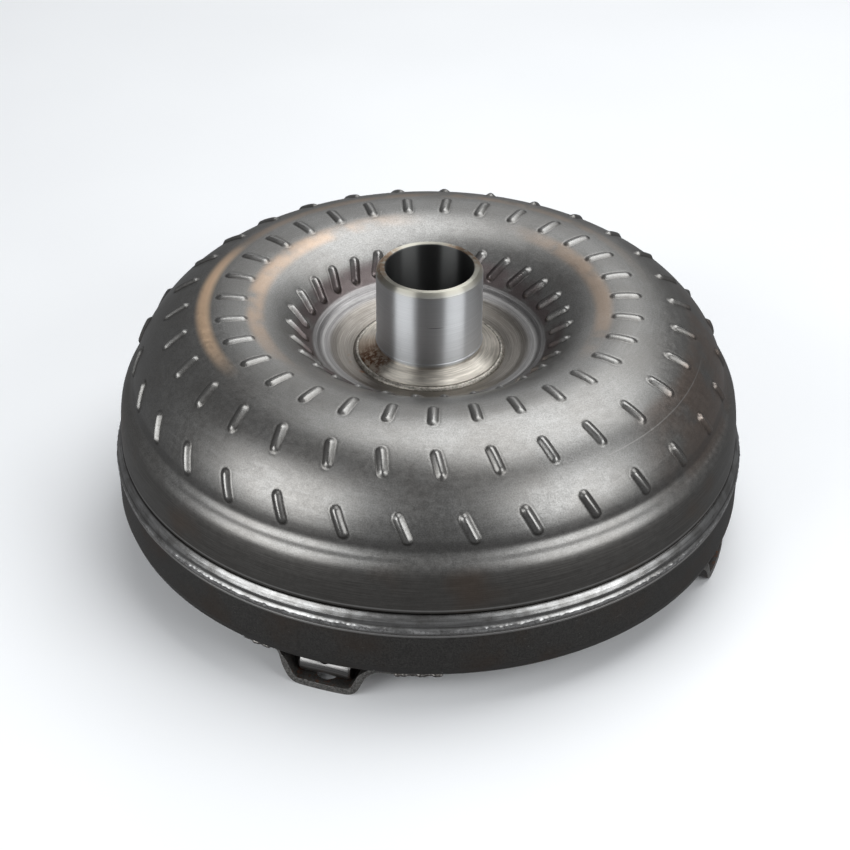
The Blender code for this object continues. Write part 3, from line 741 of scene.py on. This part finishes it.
def build_closing_weld():
    band = [
        (149.6, 51.6), (150.3, 52.2, 0.2), (151.3, 51.9, 0.5), (152.6, 50.4, 1.0), (153.5, 48.4, 0.8),
        (153.3, 46.9, 0.3), (153.6, 46.2, 0.3), (154.3, 45.2, 0.5), (154.3, 43.6, 0.5), (153.7, 42.3, 0.2),
        (149.6, 42.3),
    ]
    outline = spaced(rounded(band, 0.3), 0.28)

    def outside(radius):
        return step_between(radius, 150.0, 150.8)

    def flash(along, angle, radius, height):
        wander = 0.25 * ripple(angle, 0, 26, 60, 20.0)
        near = np.exp(-(((height - FLASH_HEIGHT - wander) / 0.75) ** 2))
        patches = 0.7 + 0.5 * ripple(angle, 0, 21, 70, 20.0)
        lip = 0.5 * np.exp(-(((height - 42.6) / 0.3) ** 2))
        return np.clip(near * patches + lip, 0, 1) * outside(radius)

    # Mask for the painted shade in the gap under the skirt and the groove in the band
    def groove_shade(along, angle, radius, height):
        upper = np.exp(-(((height - 52.0) / 0.4) ** 2))
        lower = 0.6 * np.exp(-(((height - 46.5) / 0.4) ** 2))
        return (upper + lower) * np.ones_like(angle)

    def relief(along, angle, radius, height):
        fine, broad = ripple(angle, along, 22, 420, 3.0, 9), ripple(angle, along, 23, 130, 5.0)
        near = np.exp(-(((height - FLASH_HEIGHT) / 1.1) ** 2))
        rolled = 0.02 * ripple(angle, along, 24, 160, 8.0) + 0.07 * ripple(angle, along, 25, 24, 16.0)
        return outside(radius) * (near * (0.24 * fine + 0.18 * broad) + rolled)

    layers = {"flash": flash, "groove_shade": groove_shade}
    mesh = lathe_mesh("closing_weld_bead", outline, WELD_STEPS, relief, 60.0, layers)
    add_piece("closing_weld_bead", mesh, [rolled_weld_look()], replaces=["closing_weld"])


# ---------------------------------------------------------------- cover and pilot


def build_cover():
    floor = 15.5
    outline = rounded(
        [
            (0.0, floor + 3.5), (88.0, floor + 3.5, 3.0), (96.0, floor, 3.0), (147.2, floor, 4.0),
            (152.0, floor + 2.2, 4.0), (153.8, floor + 7.5, 5.0), (153.8, 42.0, 0.4), (149.6, 42.0, 0.3),
            (149.6, 26.0, 2.0), (148.4, 21.8, 2.0), (145.6, floor + 3.5, 2.0), (97.5, floor + 3.5, 3.0),
            (89.5, floor + 7.0, 3.0), (0.0, floor + 7.0),
        ],
        0.4,
        arc_points=7,
    )

    def relief(along, angle, radius, height):
        wall = step_between(radius, 152.0, 153.5)
        return wall * 0.05 * ripple(angle, along, 31, 24, 60.0)

    mesh = lathe_mesh("cover_pressing", outline, 720, relief, 40.0)
    add_piece("cover_pressing", mesh, [cover_look()], replaces=["front_cover"])


def build_pilot():
    spigot = [
        (0.0, 5.0), (5.0, 5.0, 0.2), (7.0, 2.0, 0.3), (20.0, 2.0, 0.3), (21.5, 3.5, 0.4), (21.5, 14.9, 1.2),
        (25.0, 18.7, 0.3), (0.0, 18.7),
    ]
    mesh = lathe_mesh("pilot_spigot", rounded(spigot, 0.3), STEPS, sharp=50.0)
    look = machined_look("Pilot steel", (0.24, 0.235, 0.225), (0.46, 0.45, 0.44), 0.26)
    add_piece("pilot_spigot", mesh, [look], replaces=["pilot_boss"])


# ---------------------------------------------------------------- drive lugs and barrel nuts

LUG_SHEET = 3.4
LUG_TOP = 15.2
LUG_OUTER = 150.4
LUG_STEP_BACK = 4.6
LUG_INNER = 122.0
BARREL_RADIUS = 5.6
BARREL_HALF = 12.5
BARREL_HEIGHT = LUG_SHEET + 0.2 + BARREL_RADIUS
THREAD_PITCH = 1.5
THREAD_ROOT = 4.95

# The lug's looks, in the order of its material slots after the mill scale
SHEARED_SLOT = 1
WORN_SLOT = 2


def lug_outline():
    """The lug's sheet seen along a radius, as a closed outline: two feet and a hat between them."""
    half = LUG_SHEET / 2
    high = LUG_TOP - half
    centre = [
        (-53.0, high), (-19.8, high, 5.0), (-14.6, half, 5.5), (14.4, half, 5.5), (20.2, high, 5.0),
        (46.0, high),
    ]
    path = spaced(rounded(centre, 4.0, closed=False, arc_points=9), 1.2)
    sides = []
    for i, point in enumerate(path):
        tangent = Vector(path[min(i + 1, len(path) - 1)]) - Vector(path[max(i - 1, 0)])
        normal = Vector((-tangent.y, tangent.x)).normalized() * half
        sides.append((Vector(point) + normal, Vector(point) - normal))
    return [tuple(upper) for upper, _ in sides] + [tuple(lower) for _, lower in reversed(sides)]


def lug_edge(x):
    """How far out the lug's sheet reaches. Its feet stand back under the cover."""
    reach = LUG_OUTER - LUG_STEP_BACK * step_between(abs(x), 19.0, 25.0)
    return math.sqrt(reach * reach - x * x)


def lug_mesh(facing, looks):
    """The sheet from the lug's inner radius to its edge, with its bolt hole and worn edges."""
    outline = lug_outline()
    shape = bmesh.new()
    layers = []
    for share in np.linspace(0, 1, 9):
        layer = []
        for x, z in outline:
            inner = math.sqrt(LUG_INNER**2 - x * x)
            depth = inner + (lug_edge(x) - inner) * share
            layer.append(shape.verts.new((x * MM, depth * MM, z * MM)))
        layers.append(layer)
    count = len(outline)
    for near, far in zip(layers, layers[1:]):
        for i in range(count):
            shape.faces.new((near[i], near[(i + 1) % count], far[(i + 1) % count], far[i]))
    half = count // 2
    for layer in (layers[0], layers[-1]):
        for i in range(half - 1):
            face = shape.faces.new((layer[i], layer[i + 1], layer[count - 2 - i], layer[count - 1 - i]))
            face.material_index = SHEARED_SLOT
    bmesh.ops.recalc_face_normals(shape, faces=shape.faces)
    mesh = bpy.data.meshes.new("lug")
    shape.to_mesh(mesh)
    shape.free()
    for look in looks:
        mesh.materials.append(look)
    hole = lathe_mesh("hole", [(0, -2), (BOLT_HOLE_RADIUS, -2), (BOLT_HOLE_RADIUS, 5), (0, 5)], 48)
    hole.transform(Matrix.Translation((0, BOLT_CIRCLE * MM, 0)))
    made = cut(mesh, hole, 0.6, 3, WORN_SLOT)
    made.transform(facing)
    smooth(made, 40.0)
    return made


def barrel_mesh(facing):
    """The barrel nut on its side in the lug, with a threaded hole across it."""
    ends = [(0, -BARREL_HALF), (4.9, -BARREL_HALF, 0.2), (BARREL_RADIUS, 0.9 - BARREL_HALF, 0.3)]
    bar = lathe_mesh("bar", rounded(ends + [(r, -z, *own) for r, z, *own in reversed(ends)], 0.3), 96)
    bar.transform(Matrix.Rotation(math.pi / 2, 4, "Y"))
    thread = [(0, -8.0), (TAPPING_RADIUS, -8.0)]
    for i in range(6):
        low = -7.5 + THREAD_PITCH * i
        thread += [(TAPPING_RADIUS, low), (THREAD_ROOT, low + 0.65), (THREAD_ROOT, low + 0.85)]
    thread += [(TAPPING_RADIUS, 1.8), (4.9, 2.7), (4.9, 8.0), (0, 8.0)]
    hole = lathe_mesh("thread", thread, 48)
    made = cut(bar, hole, 0.15, 2)
    made.transform(facing @ Matrix.Translation((0, BOLT_CIRCLE * MM, BARREL_HEIGHT * MM)))
    smooth(made, 40.0)
    return made


def bead_mesh(start, end, radius, seed, facing):
    """A weld bead laid as a row of overlapping puddles between two points."""
    dice = np.random.default_rng(seed)
    shape = bmesh.new()
    length = (Vector(end) - Vector(start)).length
    count = max(4, round(length / (radius * 0.9)))
    for i in range(count + 1):
        t = i / count
        size = radius * dice.uniform(0.85, 1.15)
        centre = Vector(start).lerp(Vector(end), t) + Vector(dice.uniform(-0.25, 0.25, 3))
        flattened = Matrix.Diagonal((size * MM, size * MM, size * 0.7 * MM, 1.0))
        puddle = Matrix.Translation(centre * MM) @ flattened
        bmesh.ops.create_icosphere(shape, subdivisions=3, radius=1.0, matrix=puddle)
    mesh = bpy.data.meshes.new("bead")
    shape.to_mesh(mesh)
    shape.free()
    obj = helper(mesh)
    joined = obj.modifiers.new("Join", "REMESH")
    joined.mode = "VOXEL"
    joined.voxel_size = 0.3 * MM
    made = finished_mesh(obj)
    made.transform(facing)
    smooth(made, 80.0)
    return made


def build_lugs():
    scale = lug_look()
    sheared = sheared_look()
    worn = worn_edge_look()
    nut = machined_look("Barrel nut steel", (0.16, 0.155, 0.15), (0.32, 0.31, 0.3), 0.26, 2.0, 0.0)
    weld = weld_look("Lug weld metal", (0.32, 0.30, 0.28))
    for i in range(LUG_COUNT):
        # A lug is built on +Y, which is 90 degrees round from +X
        facing = Matrix.Rotation(math.radians(LUG_ANGLE + LUG_PITCH * i - 90), 4, "Z")
        number = i + 1
        sheet = lug_mesh(facing, [scale, sheared, worn])
        add_piece(f"lug_bracket_{number}", sheet, [], replaces=[f"drive_lug_{number}"])
        barrel = barrel_mesh(facing)
        add_piece(f"barrel_{number}", barrel, [nut], replaces=[f"barrel_nut_{number}"])
        for side, first, last in (("ahead", 28.0, 40.0), ("behind", -52.0, -34.0)):
            start, end = ((x, lug_edge(x) + 0.8, 13.6) for x in (first, last))
            bead = bead_mesh(start, end, 1.9, 50 + i + round(last), facing)
            add_piece(f"lug_weld_{number}_{side}", bead, [weld])


# ---------------------------------------------------------------- pieces inside


def dress_inside():
    """Materials for the CAD nodes that stay."""
    blade = pressed_look("Blade steel", (0.30, 0.295, 0.28), (0.48, 0.47, 0.45))
    turbine = pressed_look("Turbine steel", (0.28, 0.27, 0.255), (0.44, 0.43, 0.41))
    race = machined_look("Race steel", (0.42, 0.42, 0.42), (0.62, 0.62, 0.61), 0.18)
    roller = machined_look("Roller steel", (0.58, 0.58, 0.58), (0.74, 0.74, 0.74), 0.1)
    bearing = machined_look("Bearing steel", (0.5, 0.5, 0.5), (0.68, 0.68, 0.67), 0.14)
    damper = pressed_look("Damper steel", (0.33, 0.32, 0.31), (0.5, 0.49, 0.47), 0.32)
    looks = {
        "impeller_blades": blade,
        "turbine_blades": blade,
        "turbine_shell": turbine,
        "turbine_hub": race,
        "piston_seal": rubber_look(),
        "cover_thrust_washer": machined_look(
            "Sintered bronze", (0.42, 0.27, 0.12), (0.62, 0.43, 0.22), 0.36, 1.5, 0.1, (0.25, 0.15, 0.08)
        ),
        "stator_wheel": cast_look("Stator casting", (0.42, 0.42, 0.41), (0.66, 0.66, 0.65)),
        "stator_cam_race": race,
        "stator_inner_race": race,
        "stator_side_plate": damper,
        "stator_roller": roller,
        "thrust_bearing": bearing,
        "lockup_piston": pressed_look("Piston steel", (0.24, 0.24, 0.245), (0.38, 0.38, 0.385)),
        "friction_lining": lining_look(),
        "damper_retainer": damper,
        "damper_driven_plate": damper,
        "damper_spring": machined_look("Blued spring wire", (0.09, 0.095, 0.11), (0.2, 0.205, 0.23), 0.24),
    }
    for name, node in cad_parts.items():
        look = next((looks[key] for key in looks if name.startswith(key)), None)
        if look:
            node.data.materials.clear()
            node.data.materials.append(look)


# ---------------------------------------------------------------- studio

VIEW_ELEVATION = 34.87
VIEW_DISTANCE = 1.048
VIEW_AIM_HEIGHT = 0.0524
VIEW_PITCH = 0.21
VIEW_PAN = 0.116
VIEW_ROLL = 0.347
LENS = 89.3
SENSOR_WIDTH = 36.0

LIGHT_AIM_HEIGHT = 0.08
FLOOR_HALF = 6.0
FLOOR_HEIGHT = -0.0002


def build_camera():
    elevation = math.radians(VIEW_ELEVATION)
    down = elevation + math.radians(VIEW_PITCH)
    back, up = VIEW_DISTANCE * math.cos(elevation), VIEW_DISTANCE * math.sin(elevation)
    place = Vector((0, -back, VIEW_AIM_HEIGHT + up))
    pan = Matrix.Rotation(math.radians(VIEW_PAN), 3, "Z")
    forward = pan @ Vector((0, math.cos(down), -math.sin(down)))
    data = bpy.data.cameras.new("Camera")
    data.lens = LENS
    data.sensor_width = SENSOR_WIDTH
    camera = bpy.data.objects.new("Camera", data)
    bpy.context.scene.collection.objects.link(camera)
    aim = forward.to_track_quat("-Z", "Y").to_matrix().to_4x4()
    camera.matrix_world = Matrix.Translation(place) @ aim @ Matrix.Rotation(math.radians(VIEW_ROLL), 4, "Z")
    bpy.context.scene.camera = camera


def add_softbox(name, azimuth, elevation, distance, size, power, colour):
    """A light that looks at the object. Azimuth 0 is the camera's side, and right of it is positive."""
    a, e = math.radians(azimuth), math.radians(elevation)
    data = bpy.data.lights.new(name, "AREA")
    data.shape = "RECTANGLE"
    data.size, data.size_y = size
    data.energy = power
    data.color = colour
    light = bpy.data.objects.new(name, data)
    bpy.context.scene.collection.objects.link(light)
    away = Vector((math.sin(a) * math.cos(e), -math.cos(a) * math.cos(e), math.sin(e)))
    light.location = Vector((0, 0, LIGHT_AIM_HEIGHT)) + away * distance
    light.rotation_euler = (-away).to_track_quat("-Z", "Y").to_euler()


def build_studio():
    world = bpy.data.worlds.new("Studio")
    world.use_nodes = True
    background = world.node_tree.nodes["Background"]
    background.inputs["Color"].default_value = (0.94, 0.96, 1.0, 1.0)
    background.inputs["Strength"].default_value = 0.2
    bpy.context.scene.world = world

    cool = (0.95, 0.975, 1.0)
    add_softbox("Left softbox", -52, 21, 1.3, (0.95, 1.0), 11.0, cool)
    add_softbox("Right softbox", 54, 21, 1.3, (0.95, 1.0), 10.0, cool)
    add_softbox("Top softbox", 136, 67, 1.2, (1.2, 1.1), 13.5, cool)
    add_softbox("Back softbox", 178, 24, 1.6, (1.1, 0.6), 1.8, cool)

    floor_look = Look("Floor", metallic=0.0)
    cloud = floor_look.noise(0.004, 2.0)
    colour = floor_look.mix(floor_look.ramp(cloud, 0.3, 0.7), (0.86, 0.86, 0.86), (0.89, 0.89, 0.89))
    shape = bmesh.new()
    bmesh.ops.create_grid(shape, x_segments=8, y_segments=8, size=FLOOR_HALF)
    mesh = bpy.data.meshes.new("floor")
    shape.to_mesh(mesh)
    shape.free()
    floor = bpy.data.objects.new("floor", mesh)
    bpy.context.scene.collection.objects.link(floor)
    mesh.materials.append(floor_look.finish(colour, 0.8))
    floor.location.z = FLOOR_HEIGHT
    floor.visible_glossy = False
    bpy.context.scene.view_settings.view_transform = "Standard"


build_shell()
build_hub()
build_hub_weld()
build_closing_weld()
build_cover()
build_pilot()
build_lugs()
dress_inside()
build_camera()
build_studio()
